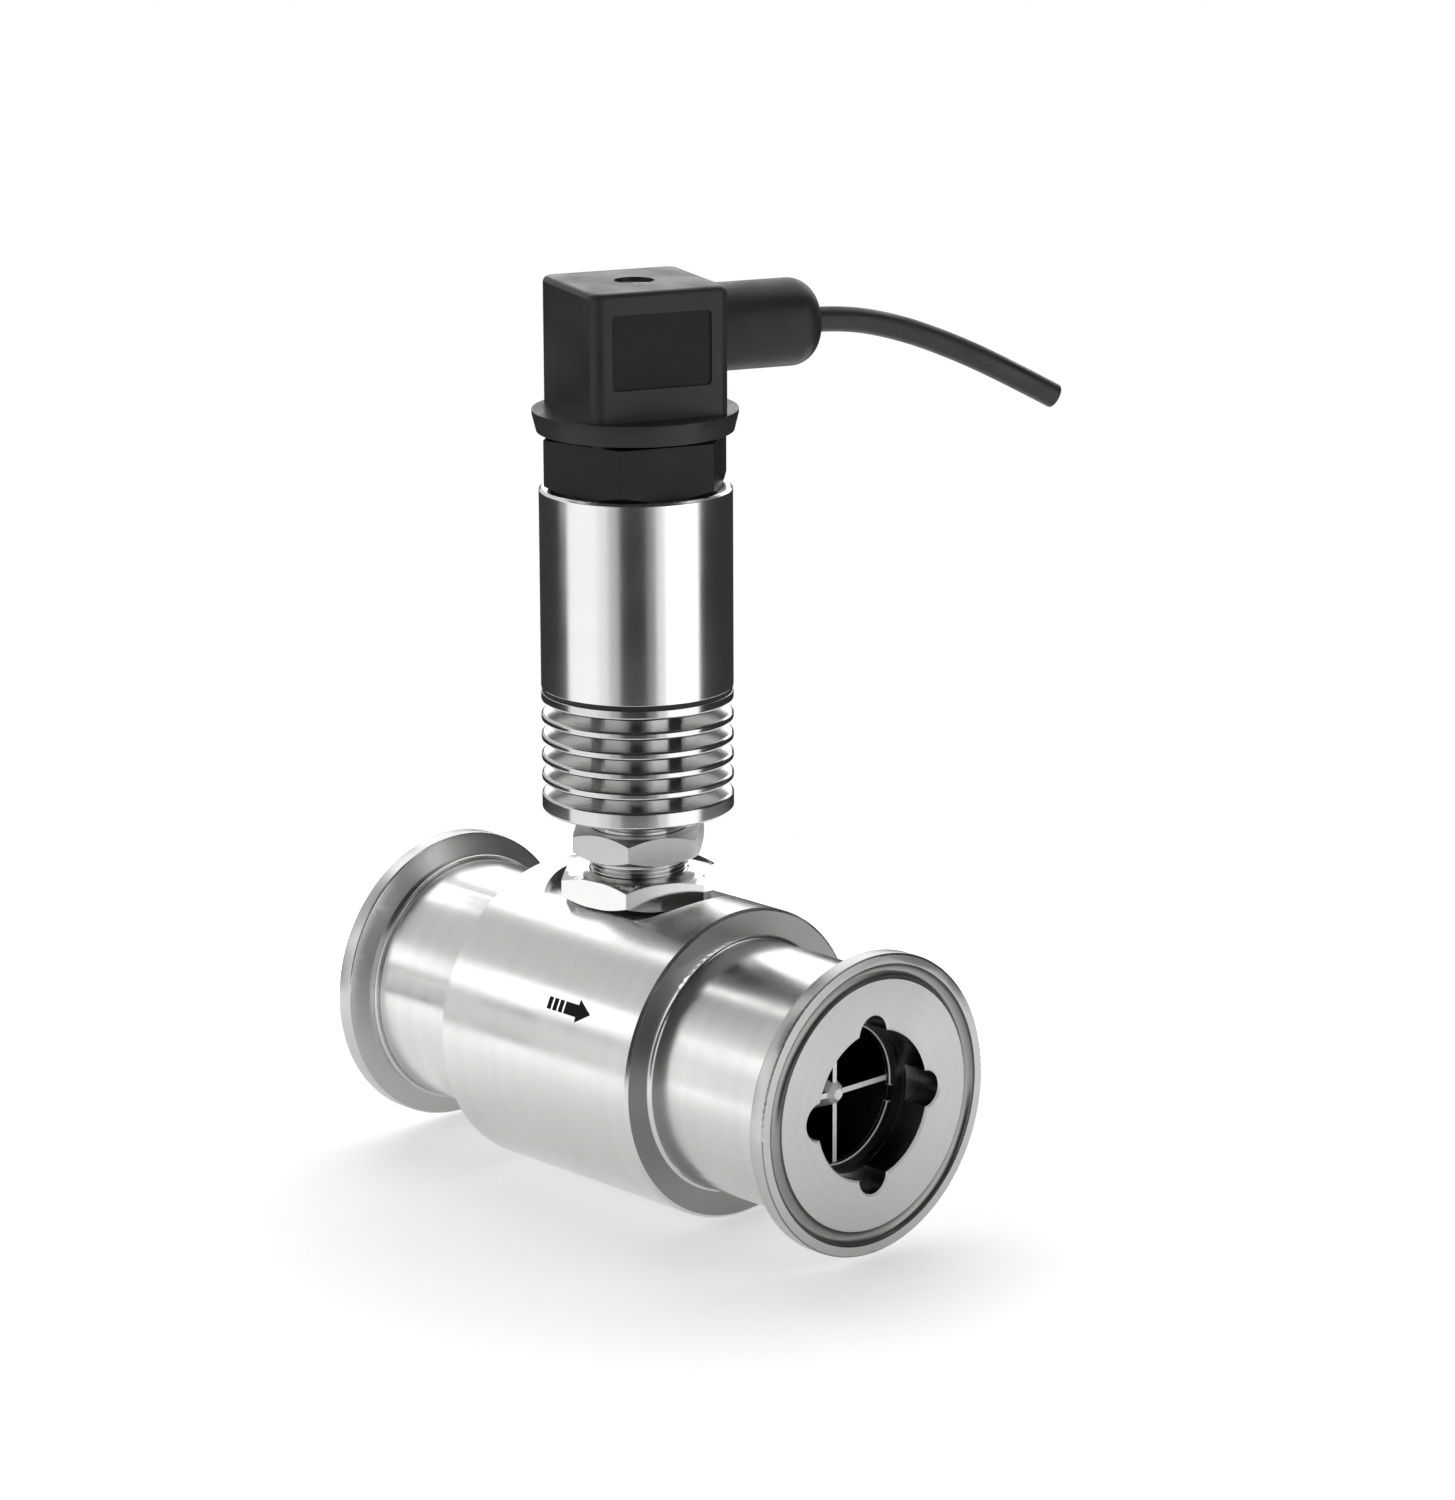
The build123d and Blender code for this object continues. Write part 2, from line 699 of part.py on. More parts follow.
board_face = board_thickness / 2
with BuildPart() as board_components:
    with BuildSketch(Plane((rotor_x + board_face, 0, 0), x_dir=(0, 1, 0), z_dir=(1, 0, 0))):
        with Locations((-chip_size[1], board_z + board_length / 2)):
            Rectangle(chip_size[1], chip_size[0])
    extrude(amount=chip_size[2])
    with BuildSketch(Plane((rotor_x + board_face, 0, 0), x_dir=(0, 1, 0), z_dir=(1, 0, 0))):
        with Locations((trimmer_size[0] / 2, board_z + board_length - trimmer_size[1])):
            Rectangle(trimmer_size[0], trimmer_size[1])
    extrude(amount=trimmer_size[2])
    with BuildSketch(Plane((rotor_x - board_face, 0, 0), x_dir=(0, -1, 0), z_dir=(-1, 0, 0))):
        with Locations((0, board_z + board_length / 2)):
            Circle(can_dia / 2)
    extrude(amount=can_length)
save(board_components.part, "board_components")


# Connector base: a moulded hexagon with a hollow spigot in the sleeve and slots for the blades
base_spigot_z = sleeve_top_z - base_spigot_length
base_cavity_r = spigot_r - base_wall
base_cavity_top_z = base_top_z - base_roof
base_corner_r = sink_r + base_corner_step
with BuildPart() as connector_base:
    with BuildSketch(plug_plane.offset(sleeve_top_z)):
        RegularPolygon(base_corner_r, hex_sides)
    extrude(amount=base_height)
    bevel_out = base_bottom_bevel * tan(radians(base_bevel_angle))
    with BuildSketch(tower_section):
        with BuildLine():
            Polyline(
                (0, sleeve_top_z),
                (base_corner_r - bevel_out, sleeve_top_z),
                (base_corner_r, sleeve_top_z + base_bottom_bevel),
                (base_corner_r, base_top_z),
                (0, base_top_z),
                close=True,
            )
        make_face()
    revolve(axis=tower_axis, mode=Mode.INTERSECT)
    with BuildSketch(tower_plane.offset(base_spigot_z)):
        Circle(spigot_r)
    extrude(amount=base_spigot_length)
    with BuildSketch(tower_plane.offset(base_spigot_z)):
        Circle(base_cavity_r)
    extrude(amount=base_cavity_top_z - base_spigot_z, mode=Mode.SUBTRACT)
    with BuildSketch(plug_plane.offset(base_cavity_top_z)):
        with PolarLocations(blade_contact_circle / 2, blade_contact_count):
            Rectangle(blade_contact_thickness + 2 * contact_gap, blade_contact_width + 2 * contact_gap)
        Circle(plug_screw_dia / 2 + plug_screw_gap)
    extrude(amount=base_roof, mode=Mode.SUBTRACT)
save(connector_base.part, "connector_base")

with BuildPart() as contact_blades:
    with BuildSketch(plug_plane.offset(base_cavity_top_z - blade_contact_tail)):
        with PolarLocations(blade_contact_circle / 2, blade_contact_count):
            Rectangle(blade_contact_thickness, blade_contact_width)
    extrude(amount=blade_contact_tail + base_roof + blade_contact_rise)
save(contact_blades.part, "contact_blades")

with BuildPart() as profile_seal:
    with BuildSketch(plug_plane.offset(base_top_z)):
        RectangleRounded(seal_sheet_width, seal_sheet_width, plug_corner_round)
        with PolarLocations(blade_contact_circle / 2, blade_contact_count):
            Rectangle(blade_contact_thickness + 2 * contact_gap, blade_contact_width + 2 * contact_gap,
                      mode=Mode.SUBTRACT)
        Circle(plug_screw_dia / 2 + plug_screw_head_gap, mode=Mode.SUBTRACT)
    extrude(amount=seal_sheet_thickness)
save(profile_seal.part, "profile_seal")


# Plug housing: a rounded square shell with a round foot flange, side panels and a threaded cable boss
cavity_width = plug_width - 2 * plug_wall
ledge_width = cavity_width - 2 * block_ledge
block_top_z = plug_z + block_gap + block_height
with BuildPart() as plug_housing:
    with BuildSketch(plug_plane.offset(plug_z)):
        RectangleRounded(plug_width, plug_width, plug_corner_round)
    extrude(amount=plug_height)
    fillet(plug_housing.edges().group_by(Axis.Z)[-1], plug_top_round)
    foot_r = plug_flange_dia / 2
    with BuildSketch(tower_section):
        with BuildLine():
            Polyline(
                (0, plug_z),
                (foot_r - plug_flange_taper, plug_z),
                (foot_r, plug_z + plug_flange_height - plug_flange_taper),
                (foot_r, plug_z + plug_flange_height),
                (0, plug_z + plug_flange_height),
                close=True,
            )
        make_face()
    revolve(axis=tower_axis)
    with BuildSketch(gland_section):
        with BuildLine():
            Polyline((0, 0), (boss_dia / 2, 0), (boss_dia / 2, boss_end), (0, boss_end), close=True)
        make_face()
    revolve(axis=gland_axis)
    for side in (1, -1):
        panel_origin = Vector(rotor_x, 0, 0) + Vector(*side_dir) * (side * plug_width / 2)
        panel_plane = Plane(panel_origin, x_dir=cable_dir, z_dir=Vector(*side_dir) * side)
        up = 1 if panel_plane.y_dir.Z > 0 else -1
        with BuildSketch(panel_plane):
            with Locations((0, up * (plug_z + plug_panel_z + plug_panel_height / 2))):
                RectangleRounded(plug_panel_width, plug_panel_height, plug_panel_corner)
        extrude(amount=-plug_panel_depth, mode=Mode.SUBTRACT)
    with BuildSketch(plug_plane.offset(plug_z)):
        Rectangle(cavity_width, cavity_width)
    extrude(amount=block_top_z - plug_z, mode=Mode.SUBTRACT)
    with BuildSketch(plug_plane.offset(plug_z)):
        Rectangle(ledge_width, ledge_width)
    extrude(amount=plug_height - plug_roof, mode=Mode.SUBTRACT)
    with BuildSketch(gland_section):
        with BuildLine():
            Polyline((0, 0), (boss_bore_dia / 2, 0), (boss_bore_dia / 2, boss_end), (0, boss_end),
                     close=True)
        make_face()
    revolve(axis=gland_axis, mode=Mode.SUBTRACT)
    with BuildSketch(plug_plane.offset(plug_top_z)):
        Circle(plug_screw_dia / 2 + plug_screw_gap)
    extrude(amount=-plug_roof, mode=Mode.SUBTRACT)
    with BuildSketch(plug_plane.offset(plug_top_z)):
        Circle(plug_screw_head_dia / 2 + plug_screw_head_gap)
    extrude(amount=-plug_screw_recess, mode=Mode.SUBTRACT)
save(plug_housing.part, "plug_housing")

with BuildPart() as terminal_block:
    with BuildSketch(plug_plane.offset(plug_z + block_gap)):
        Rectangle(cavity_width - 2 * block_gap, cavity_width - 2 * block_gap)
        with PolarLocations(blade_contact_circle / 2, blade_contact_count):
            Rectangle(blade_contact_thickness + 2 * plug_contact_gap,
                      blade_contact_width + 2 * plug_contact_gap, mode=Mode.SUBTRACT)
        Circle(plug_screw_dia / 2 + plug_screw_head_gap, mode=Mode.SUBTRACT)
    extrude(amount=block_height)
save(terminal_block.part, "terminal_block")

# Centre screw: a slotted cheese head in the roof of the plug, its shank down into the connector base
head_z = plug_top_z - plug_screw_recess
with BuildPart() as fixing_screw:
    with BuildSketch(plug_plane.offset(head_z)):
        Circle(plug_screw_head_dia / 2)
    extrude(amount=plug_screw_head_height)
    with BuildSketch(plug_plane.offset(head_z + plug_screw_head_height)):
        Rectangle(plug_screw_head_dia, screw_slot_width)
    extrude(amount=-screw_slot_depth, mode=Mode.SUBTRACT)
    with BuildSketch(plug_plane.offset(head_z)):
        Circle(plug_screw_dia / 2)
    extrude(amount=-(head_z - base_top_z + plug_screw_reach))
save(fixing_screw.part, "fixing_screw")


# Cable gland: a domed cap over the threaded boss, which squeezes a grommet behind a washer
cable_r = cable_dia / 2
gland_r = gland_dia / 2
exit_r = cable_r + gland_exit_gap
cap_bore_r = boss_dia / 2 + boss_thread_gap
stack_end = boss_end + washer_thickness + grommet_length
dome_r = gland_r - gland_dome
with BuildPart() as gland_cap:
    with BuildSketch(gland_section):
        with BuildLine():
            Polyline(
                (exit_r, gland_end),
                (exit_r, stack_end),
                (cap_bore_r, stack_end),
                (cap_bore_r, gland_start + gland_seat_gap),
                (gland_r, gland_start + gland_seat_gap),
                (gland_r, gland_end - gland_dome),
            )
            CenterArc((dome_r, gland_end - gland_dome), gland_dome, 0, quarter_turn)
            Line((dome_r, gland_end), (exit_r, gland_end))
        make_face()
    revolve(axis=gland_axis)
save(gland_cap.part, "gland_cap")

packing_r = cap_bore_r - grommet_side_gap
gland_washer = turned_ring(gland_axis, gland_section, exit_r, packing_r, boss_end, washer_thickness)
save(gland_washer, "gland_washer")
gland_grommet = turned_ring(gland_axis, gland_section, exit_r, packing_r, boss_end + washer_thickness,
                            grommet_length)
save(gland_grommet, "gland_grommet")


# Cable: a straight tail inside the gland, and the free stub as straight runs joined by tangent arcs
tail_start = gland_start - plug_wall - cable_tail_inside
with BuildPart() as cable_tail:
    tail_origin = gland_section.from_local_coords((0, tail_start, 0))
    with BuildSketch(Plane(tail_origin, x_dir=side_dir, z_dir=cable_dir)):
        Circle(cable_r)
    extrude(amount=gland_end - tail_start)
save(cable_tail.part, "cable_tail")

route = [gland_section.from_local_coords((drop, gland_end + run, 0)) for run, drop in cable_route]
runs = [end - start for start, end in zip(route, route[1:])]
turns = [first.get_angle(second) for first, second in zip(runs, runs[1:])]
radii = []
for first, second, turn in zip(runs, runs[1:], turns):
    radii.append(arc_share * min(first.length, second.length) / tan(radians(turn) / 2))

with BuildPart() as cable:
    with BuildLine() as cable_line:
        FilletPolyline(*route, radius=radii)
    with BuildSketch(Plane(route[0], x_dir=side_dir, z_dir=cable_dir)):
        Circle(cable_r)
    sweep(path=cable_line.wires()[0])
save(cable.part, "cable")

cable_length = cable_line.wires()[0].length
print("cable length", round(cable_length, 2), "radii", [round(radius, 1) for radius in radii])
print("cable volume share", round(cable.part.volume / (pi * cable_r**2 * cable_length), 5))
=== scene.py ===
from math import atan2, cos, pi, radians, sin

import bmesh
import bpy
from mathutils import Matrix, Vector


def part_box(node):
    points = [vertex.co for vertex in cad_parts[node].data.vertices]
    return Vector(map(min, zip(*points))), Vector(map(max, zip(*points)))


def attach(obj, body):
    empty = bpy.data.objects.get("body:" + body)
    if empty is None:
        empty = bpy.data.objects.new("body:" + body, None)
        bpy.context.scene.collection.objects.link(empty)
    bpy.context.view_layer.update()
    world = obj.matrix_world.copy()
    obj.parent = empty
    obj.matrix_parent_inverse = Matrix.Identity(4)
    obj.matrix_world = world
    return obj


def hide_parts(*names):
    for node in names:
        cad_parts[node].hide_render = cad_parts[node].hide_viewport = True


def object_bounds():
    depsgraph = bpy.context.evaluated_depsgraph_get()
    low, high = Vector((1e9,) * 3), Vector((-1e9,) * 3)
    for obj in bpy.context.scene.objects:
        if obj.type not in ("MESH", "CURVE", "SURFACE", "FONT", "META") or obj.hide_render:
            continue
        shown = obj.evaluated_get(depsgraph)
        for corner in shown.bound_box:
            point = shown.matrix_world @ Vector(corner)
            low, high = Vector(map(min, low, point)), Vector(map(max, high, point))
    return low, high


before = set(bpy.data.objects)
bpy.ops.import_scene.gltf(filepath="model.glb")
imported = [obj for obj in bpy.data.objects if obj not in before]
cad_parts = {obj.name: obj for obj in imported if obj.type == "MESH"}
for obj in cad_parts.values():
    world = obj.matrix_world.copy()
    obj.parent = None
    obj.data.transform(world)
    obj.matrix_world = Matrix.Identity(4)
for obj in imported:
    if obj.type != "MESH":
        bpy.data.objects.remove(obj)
cad_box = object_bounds()
mm = 0.001

# View: a long lens well back from the meter, turned towards its outlet and raised over the bore axis,
# so that the outlet face, the barrel's side and the whole tower show.
view_azimuth, view_elevation, view_roll = radians(46.3), radians(14.5), radians(-0.2)
view_distance, view_lens, film_height = 0.817, 120.0, 36.0
view_target = Vector((71.0 * mm, 0.0, 53.0 * mm))

scene = bpy.context.scene
scene.view_settings.view_transform = "Standard"
towards_camera = Vector((sin(view_azimuth) * cos(view_elevation), -cos(view_azimuth) * cos(view_elevation),
                         sin(view_elevation)))
camera = bpy.data.objects.new("camera", bpy.data.cameras.new("camera"))
scene.collection.objects.link(camera)
scene.camera = camera
camera.data.sensor_fit = "VERTICAL"
camera.data.sensor_height = film_height
camera.data.lens = view_lens
camera.location = view_target + view_distance * towards_camera
camera.rotation_euler = (-towards_camera).to_track_quat("-Z", "Y").to_euler()
camera.rotation_euler.rotate_axis("Z", view_roll)

# Cable: a round black PVC sheath that leaves the gland level, droops and ends in a square cut,
# where the filler and the ends of its three cores show.
sleeve_low, sleeve_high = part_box("housing_sleeve")
tower_x = (sleeve_low.x + sleeve_high.x) / 2
plug_yaw = radians(69.0)
cable_dir = Vector((cos(plug_yaw), sin(plug_yaw), 0.0))
gland_z, gland_end = 119.3 * mm, 31.75 * mm
gland_exit = Vector((tower_x, 0.0, gland_z)) + cable_dir * gland_end
cable_radius = 2.1 * mm
cable_route = [(0.0, 0.0), (6.0, 0.0), (16.0, -2.4), (26.0, -6.4), (35.5, -11.1), (44.6, -16.1)]


def link(name, data):
    thing = bpy.data.objects.new(name, data)
    scene.collection.objects.link(thing)
    return thing


def finish_mesh(form, name, body, slot, *nodes):
    """Writes a finished bmesh as a piece that rides on its body and stands for its CAD nodes."""
    bmesh.ops.recalc_face_normals(form, faces=form.faces)
    mesh = bpy.data.meshes.new(name)
    form.to_mesh(mesh)
    form.free()
    piece = link(name, mesh)
    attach(piece, body)
    if nodes:
        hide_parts(*nodes)
    return piece


cable_curve = bpy.data.curves.new("cable_sheath", "CURVE")
cable_curve.dimensions = "3D"
cable_line = cable_curve.splines.new("NURBS")
cable_line.points.add(len(cable_route) - 1)
for point, (run, drop) in zip(cable_line.points, cable_route):
    place = gland_exit + cable_dir * (run * mm) + Vector((0.0, 0.0, drop * mm))
    point.co = (*place, 1.0)
    point.radius = cable_radius
cable_line.order_u = 3
cable_line.use_endpoint_u = True
cable_line.resolution_u = 16
cable_sheath = link("cable_sheath", cable_curve)
bare_line = bpy.data.meshes.new_from_object(cable_sheath)
line_points = [vertex.co.copy() for vertex in bare_line.vertices]
cable_curve.bevel_depth = 1.0
cable_curve.bevel_resolution = 10
cable_curve.use_fill_caps = True
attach(cable_sheath, "plug")
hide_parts("cable")

cut_dir = (line_points[-1] - line_points[-2]).normalized()
cut_turn = cut_dir.to_track_quat("Z", "Y").to_matrix().to_4x4()
core_radius, core_point, core_circle = 0.62 * mm, 0.558 * mm, 0.85 * mm
core_reach, core_count = 0.12 * mm, 3
form = bmesh.new()
for core in range(core_count):
    turn = Matrix.Rotation(core * 2 * pi / core_count, 4, "Z")
    across = Matrix.Translation((core_circle, 0.0, 0.0))
    place = Matrix.Translation(line_points[-1]) @ cut_turn @ turn @ across
    bmesh.ops.create_cone(form, cap_ends=True, segments=24, radius1=core_radius, radius2=core_point,
                          depth=2 * core_reach, matrix=place)
cable_cores = finish_mesh(form, "cable_cores", "plug", "cable_rubber")


def add_node(tree, kind, inputs=None, **settings):
    """One shader node with its settings; an input is a value or another node's output."""
    made = tree.nodes.new("ShaderNode" + kind)
    for name, value in settings.items():
        setattr(made, name, value)
    for name, value in (inputs or {}).items():
        if isinstance(value, bpy.types.NodeSocket):
            tree.links.new(value, made.inputs[name])
        else:
            made.inputs[name].default_value = value
    return made


def new_group(name, inputs, outputs):
    """An empty shader group with named sockets, given back with its tree, inputs and output node."""
    group = bpy.data.node_groups.new(name, "ShaderNodeTree")
    for socket, (kind, value) in inputs.items():
        made = group.interface.new_socket(socket, in_out="INPUT", socket_type="NodeSocket" + kind)
        if value is not None:
            made.default_value = value
    for socket in outputs:
        group.interface.new_socket(socket, in_out="OUTPUT", socket_type="NodeSocketFloat")
    return group, group.nodes.new("NodeGroupInput").outputs, group.nodes.new("NodeGroupOutput").inputs


def new_material(name, color, metallic, roughness):
    """A material with its shader set, given back with its tree, shader and object coordinates."""
    material = bpy.data.materials.new(name)
    material.use_nodes = True
    tree = material.node_tree
    shader = tree.nodes["Principled BSDF"]
    shader.inputs["Base Color"].default_value = (*color, 1.0)
    shader.inputs["Metallic"].default_value = metallic
    shader.inputs["Roughness"].default_value = roughness
    return material, tree, shader, add_node(tree, "TexCoord").outputs["Object"]


# Moulding grain: the fine spark-eroded skin of moulded plastic, and the softer skin of PVC and rubber,
# as a height for the bump and a slow drift in gloss and tone.
noise_low, noise_high = 0.3, 0.7
tone_drift, gloss_drift = 1.35, 0.12
moulding_grain, given, made = new_group(
    "moulding_grain", {"Vector": ("Vector", None), "Grain": ("Float", 9000.0), "Drift": ("Float", 90.0)},
    ["Height", "Gloss"])
fine = add_node(moulding_grain, "TexNoise", {"Vector": given["Vector"], "Scale": given["Grain"],
                                             "Detail": 2.0})
slow = add_node(moulding_grain, "TexNoise", {"Vector": given["Vector"], "Scale": given["Drift"],
                                             "Detail": 3.0})
moulding_grain.links.new(fine.outputs["Fac"], made["Height"])
moulding_grain.links.new(slow.outputs["Fac"], made["Gloss"])


def moulded(name, color, roughness, grain, depth, drift=90.0, specular=0.4, metallic=0.0):
    """A moulded or blasted finish: one colour with a little drift, a fine bump and an uneven gloss."""
    material, tree, shader, place = new_material(name, color, metallic, roughness)
    shader.inputs["Specular IOR Level"].default_value = specular
    skin = add_node(tree, "Group", node_tree=moulding_grain)
    skin.inputs["Grain"].default_value = grain
    skin.inputs["Drift"].default_value = drift
    tree.links.new(place, skin.inputs["Vector"])
    gloss = add_node(tree, "MapRange", {"Value": skin.outputs["Gloss"], "From Min": noise_low,
                                        "From Max": noise_high, "To Min": roughness - gloss_drift,
                                        "To Max": roughness + gloss_drift})
    tone = add_node(tree, "MixRGB", {"Fac": skin.outputs["Gloss"], "Color1": (*color, 1.0),
                                     "Color2": (*[channel * tone_drift for channel in color], 1.0)})
    bump = add_node(tree, "Bump", {"Height": skin.outputs["Height"], "Strength": 1.0, "Distance": depth})
    tree.links.new(gloss.outputs["Result"], shader.inputs["Roughness"])
    tree.links.new(tone.outputs["Color"], shader.inputs["Base Color"])
    tree.links.new(bump.outputs["Normal"], shader.inputs["Normal"])
    return material


sheath_skin = moulded("cable_pvc", (0.018, 0.018, 0.019), 0.42, 2500.0, 0.012 * mm, drift=160.0)
core_skin = moulded("core_ends", (0.16, 0.15, 0.14), 0.5, 6000.0, 0.01 * mm)
cable_sheath.data.materials.append(sheath_skin)
cable_cores.data.materials.append(core_skin)

# Studio: a small pale round floor under the barrel in a white surround. Tall soft lamps stand on both sides
# of the camera, so that round steel shows bright bands between dark ones, and broad ones light it from
# above and behind.
floor_z, floor_radius, floor_tone = cad_box[0][2], 0.22, 0.84
# Painted light on the floor: camera and mirror rays see an added glow, lowest within the shade radius so
# that painted shade rings the meter, and full beyond the clear radius.
painted_shade_radius, painted_shade_glow, painted_glow_clear_radius = 0.05, 0.42, 0.19
painted_reflection_share, surround_level = 0.88, 0.036
form = bmesh.new()
bmesh.ops.create_circle(form, cap_ends=True, segments=128, radius=floor_radius,
                        matrix=Matrix.Translation((tower_x, 0.0, floor_z)))
floor_mesh = bpy.data.meshes.new("studio_floor")
form.to_mesh(floor_mesh)
form.free()
floor = link("studio_floor", floor_mesh)

# The floor glows though it is no lamp: the glow is painted light, its share in mirror rays a painted
# reflection, and its dip near the tower painted shade.
floor_painted_glow, tree, shader, place = new_material("floor_painted_glow", (floor_tone,) * 3, 0.0, 0.7)
shader.inputs["Specular IOR Level"].default_value = 0.1
spread = add_node(tree, "VectorMath", {0: place, 1: (tower_x, 0.0, floor_z)}, operation="DISTANCE")
painted_glow_fade = add_node(tree, "MapRange", {"Value": spread.outputs["Value"], "From Min": painted_shade_radius,
                                   "From Max": painted_glow_clear_radius, "To Min": painted_shade_glow, "To Max": 1.0},
                interpolation_type="SMOOTHSTEP")
rays = add_node(tree, "LightPath").outputs
mirrored = add_node(tree, "Math", {0: rays["Is Glossy Ray"], 1: painted_reflection_share}, operation="MULTIPLY")
shown = add_node(tree, "Math", {0: rays["Is Camera Ray"], 1: mirrored.outputs["Value"]}, operation="ADD")
seen = add_node(tree, "Math", {0: painted_glow_fade.outputs["Result"], 1: shown.outputs["Value"]}, operation="MULTIPLY")
glow = add_node(tree, "Emission", {"Strength": seen.outputs["Value"]})
both = add_node(tree, "AddShader", {0: shader.outputs["BSDF"], 1: glow.outputs["Emission"]})
tree.links.new(both.outputs["Shader"], tree.nodes["Material Output"].inputs["Surface"])
floor.data.materials.append(floor_painted_glow)

world = bpy.data.worlds.new("white_surround")
scene.world = world
world.use_nodes = True
tree = world.node_tree
level = add_node(tree, "MapRange", {"Value": add_node(tree, "LightPath").outputs["Is Camera Ray"],
                                    "To Min": surround_level, "To Max": 1.0})
tree.nodes["Background"].inputs["Color"].default_value = (1.0, 1.0, 1.0, 1.0)
tree.links.new(level.outputs["Result"], tree.nodes["Background"].inputs["Strength"])

# Each lamp: name, turn from the camera and height in degrees, distance and size in metres, watts.
lamps = [
    ("left_softbox", -67.0, 2.0, 1.0, (0.81, 1.40), 3.9),
    ("left_strip", -38.5, 2.0, 1.0, (0.23, 1.40), 0.9),
    ("left_edge_strip", -25.5, 2.0, 1.0, (0.22, 1.40), 0.5),
    ("left_band", -94.5, 15.0, 1.0, (0.14, 0.24), 0.18),
    ("left_low_card", -95.0, -2.5, 1.0, (0.18, 0.20), 0.09),
    ("left_wall", -128.0, 24.0, 1.2, (1.7, 1.0), 3.6),
    ("right_softbox", 58.0, 2.0, 1.0, (0.81, 1.40), 5.7),
    ("right_strip", 30.0, 2.0, 1.0, (0.21, 1.40), 0.8),
    ("right_edge_strip", 18.5, 2.0, 1.0, (0.19, 1.40), 0.2),
    ("overhead_softbox", 180.0, 62.0, 0.9, (1.3, 0.7), 4.5),
    ("back_wall", 168.0, 25.0, 1.2, (1.2, 0.7), 4.5),
]
lamp_target = Vector((tower_x, 0.0, 45.0 * mm))
for name, turn, lift, distance, (across, tall), power in lamps:
    azimuth, elevation = view_azimuth + radians(turn), radians(lift)
    towards_lamp = Vector((sin(azimuth) * cos(elevation), -cos(azimuth) * cos(elevation), sin(elevation)))
    light = bpy.data.lights.new(name, "AREA")
    light.shape = "RECTANGLE"
    light.size, light.size_y = across, tall
    light.energy = power
    lamp = link(name, light)
    lamp.location = lamp_target + distance * towards_lamp
    lamp.rotation_euler = (-towards_lamp).to_track_quat("-Z", "Y").to_euler()

# Line body: a bar of stainless steel turned to two necks and a barrel, with fine rings from the tool
# all over it, painted shade in the bore and a flat milled on top for the pickup.
broad_share = 0.12
turned_rings, given, made = new_group(
    "turned_rings", {"Vector": ("Vector", None), "Rings": ("Float", 5000.0), "Stretch": ("Float", 1.2),
                     "Smudge": ("Float", 60.0)}, ["Height", "Gloss", "Tone"])
parts = add_node(turned_rings, "SeparateXYZ", {"Vector": given["Vector"]})
flat = add_node(turned_rings, "CombineXYZ", {"X": parts.outputs["X"], "Y": parts.outputs["Y"]})
radius = add_node(turned_rings, "VectorMath", {0: flat.outputs["Vector"]}, operation="LENGTH")
around = add_node(turned_rings, "VectorMath", {0: flat.outputs["Vector"]}, operation="NORMALIZE")
ring_place = add_node(turned_rings, "CombineXYZ", {"X": radius.outputs["Value"], "Y": parts.outputs["Z"]})
ring_scaled = add_node(turned_rings, "VectorMath", {0: ring_place.outputs["Vector"],
                                                    "Scale": given["Rings"]}, operation="SCALE")
drift = add_node(turned_rings, "VectorMath", {0: around.outputs["Vector"], "Scale": given["Stretch"]},
                 operation="SCALE")
ring_point = add_node(turned_rings, "VectorMath", {0: ring_scaled.outputs["Vector"],
                                                   1: drift.outputs["Vector"]}, operation="ADD")
rings = add_node(turned_rings, "TexNoise", {"Vector": ring_point.outputs["Vector"], "Scale": 1.0,
                                            "Detail": 3.0, "Roughness": 0.65})
smudge = add_node(turned_rings, "TexNoise", {"Vector": given["Vector"], "Scale": given["Smudge"],
                                             "Detail": 4.0})
broad_point = add_node(turned_rings, "VectorMath", {0: ring_point.outputs["Vector"], "Scale": broad_share},
                       operation="SCALE")
broad = add_node(turned_rings, "TexNoise", {"Vector": broad_point.outputs["Vector"], "Scale": 1.0,
                                            "Detail": 1.0})
turned_rings.links.new(rings.outputs["Fac"], made["Height"])
turned_rings.links.new(smudge.outputs["Fac"], made["Gloss"])
turned_rings.links.new(broad.outputs["Fac"], made["Tone"])

bore_turn = (0.0, radians(-90.0), 0.0)
merge_reach, flat_angle, sharp_angle = 0.001 * mm, radians(0.2), radians(30.0)


def turned(name, color, roughness, depth, rings=5000.0, spread=0.06, tone=0.1, upright=False, metallic=1.0):
    """Turned steel: rings about the bore axis, or about the tower where upright, with uneven gloss."""
    material, tree, shader, place = new_material(name, color, metallic, roughness)
    if upright:
        centred = add_node(tree, "Mapping", {"Vector": place, "Location": (-tower_x, 0.0, 0.0)})
    else:
        centred = add_node(tree, "Mapping", {"Vector": place, "Rotation": bore_turn})
    skin = add_node(tree, "Group", node_tree=turned_rings)
    skin.inputs["Rings"].default_value = rings
    tree.links.new(centred.outputs["Vector"], skin.inputs["Vector"])
    gloss = add_node(tree, "MapRange", {"Value": skin.outputs["Gloss"], "From Min": noise_low,
                                        "From Max": noise_high, "To Min": roughness - spread,
                                        "To Max": roughness + spread})
    shade = add_node(tree, "MixRGB", {"Fac": skin.outputs["Tone"], "Color1": (*color, 1.0),
                                      "Color2": (*[channel * (1 - tone) for channel in color], 1.0)})
    bump = add_node(tree, "Bump", {"Height": skin.outputs["Height"], "Strength": 1.0, "Distance": depth})
    tree.links.new(gloss.outputs["Result"], shader.inputs["Roughness"])
    tree.links.new(shade.outputs["Color"], shader.inputs["Base Color"])
    tree.links.new(bump.outputs["Normal"], shader.inputs["Normal"])
    return material


painted_highlight_index, shaded_bore_index, faced_shade_index, taper_shade_index, groove_shade_index = 1, 2, 3, 4, 5


